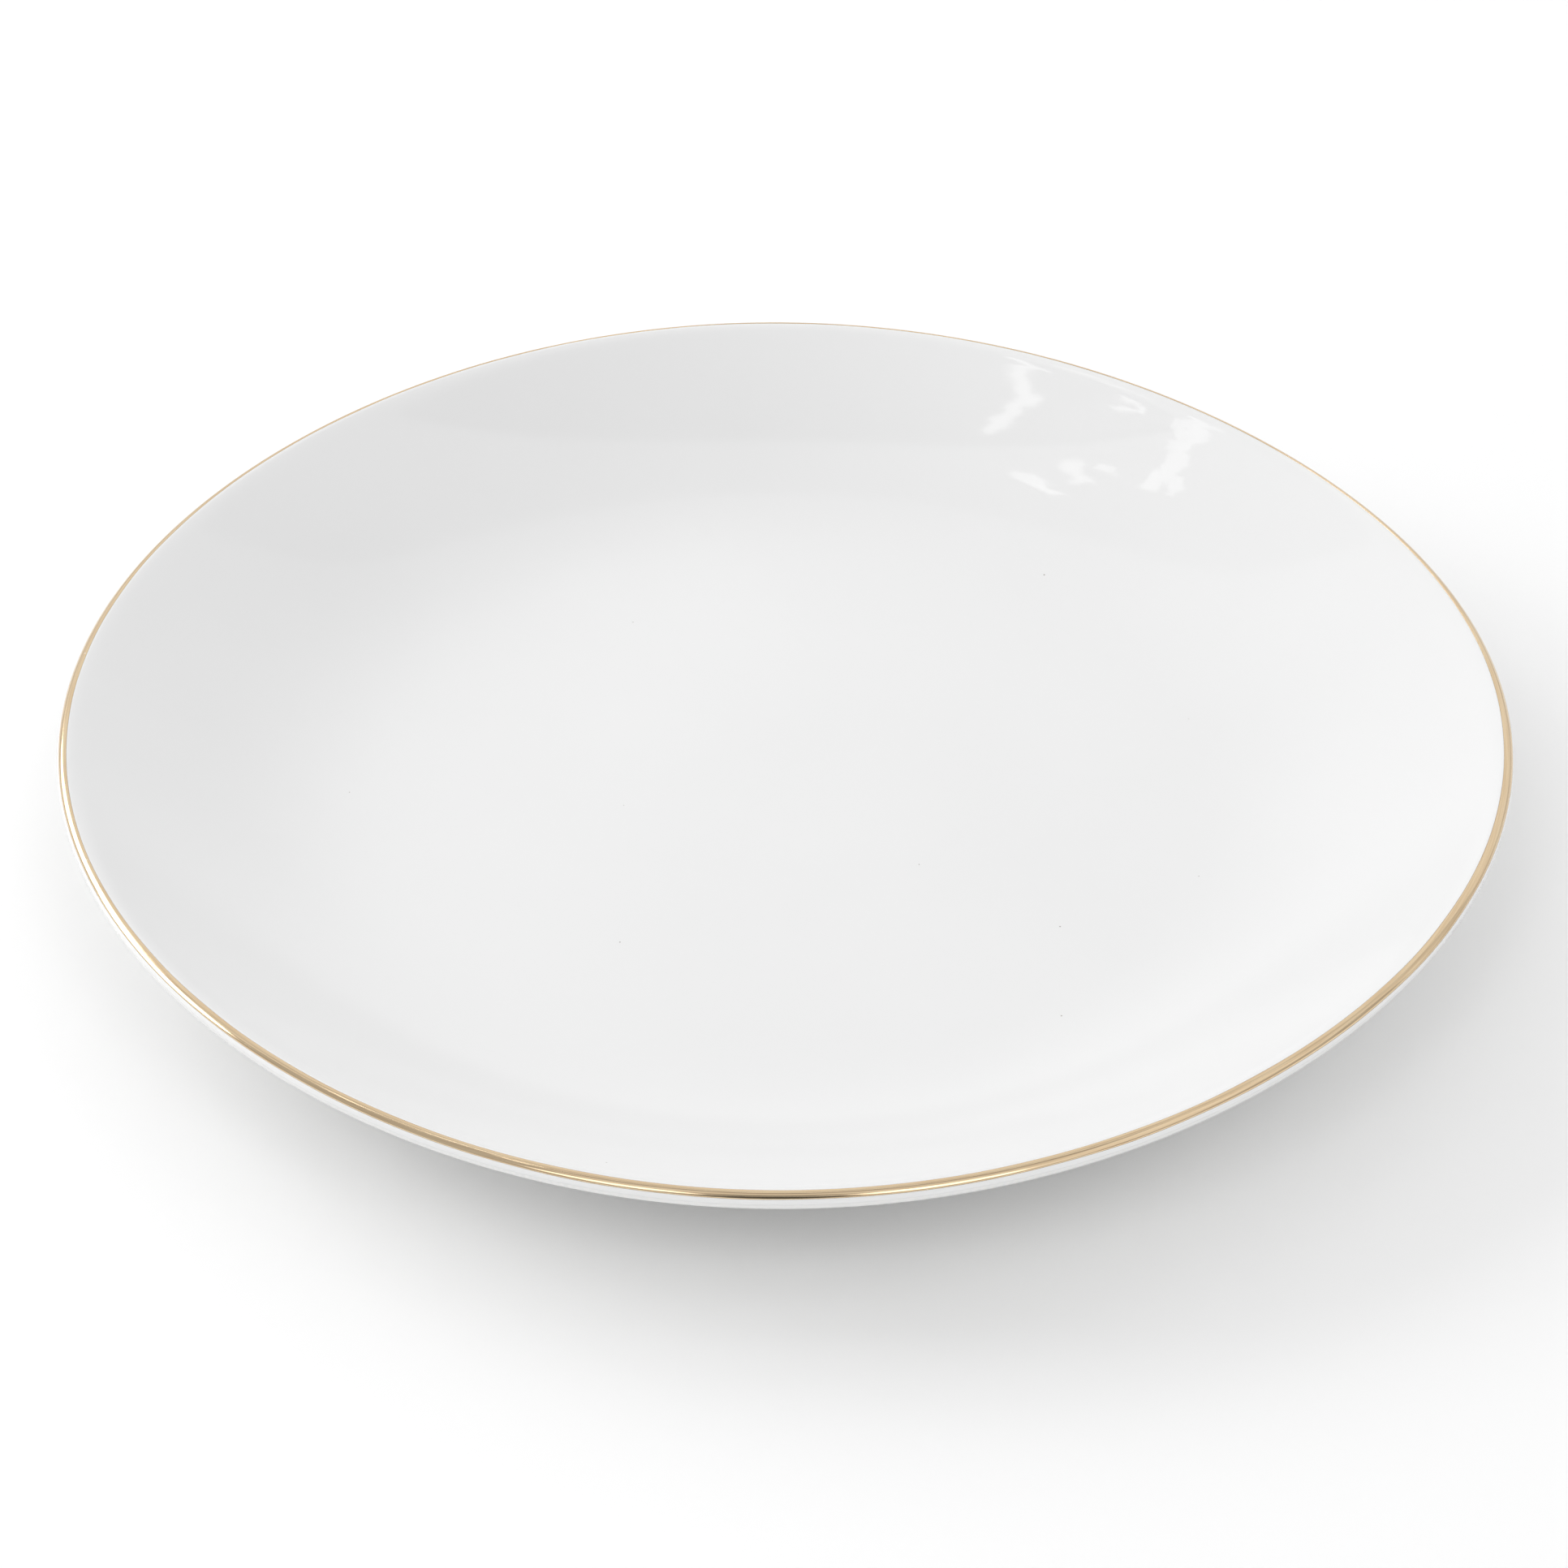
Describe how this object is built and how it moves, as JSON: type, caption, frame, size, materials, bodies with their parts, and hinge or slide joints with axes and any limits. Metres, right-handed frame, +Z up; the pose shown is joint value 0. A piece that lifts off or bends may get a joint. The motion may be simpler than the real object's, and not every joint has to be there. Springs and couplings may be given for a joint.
{
  "type": "dinner plate",
  "caption": "Round white glazed china dinner plate of the coupe shape, with a line of gold on its lip and a bare foot ring.",
  "frame": {"origin": "centre of the plane that the foot ring stands on", "axes": "+Z up along the plate's axis of revolution; X and Y lie in the table's plane, and the plate is the same in every direction round +Z"},
  "size_m": [0.27, 0.27, 0.0271],
  "materials": {
    "bare_china": "matt, unglazed fired china",
    "ground_foot": "matt, unglazed and ground flat",
    "front_glaze": "glossy clear glaze over white china",
    "back_glaze": "glossy clear glaze over white china",
    "gilding": "burnished gold line"
  },
  "bodies": {
    "root": {"china_body": "bare_china", "foot_ring": "ground_foot", "front_glaze": "front_glaze", "back_glaze": "back_glaze", "foot_well_glaze": "back_glaze", "gilt_rim_band": "gilding"}
  },
  "joints": []
}
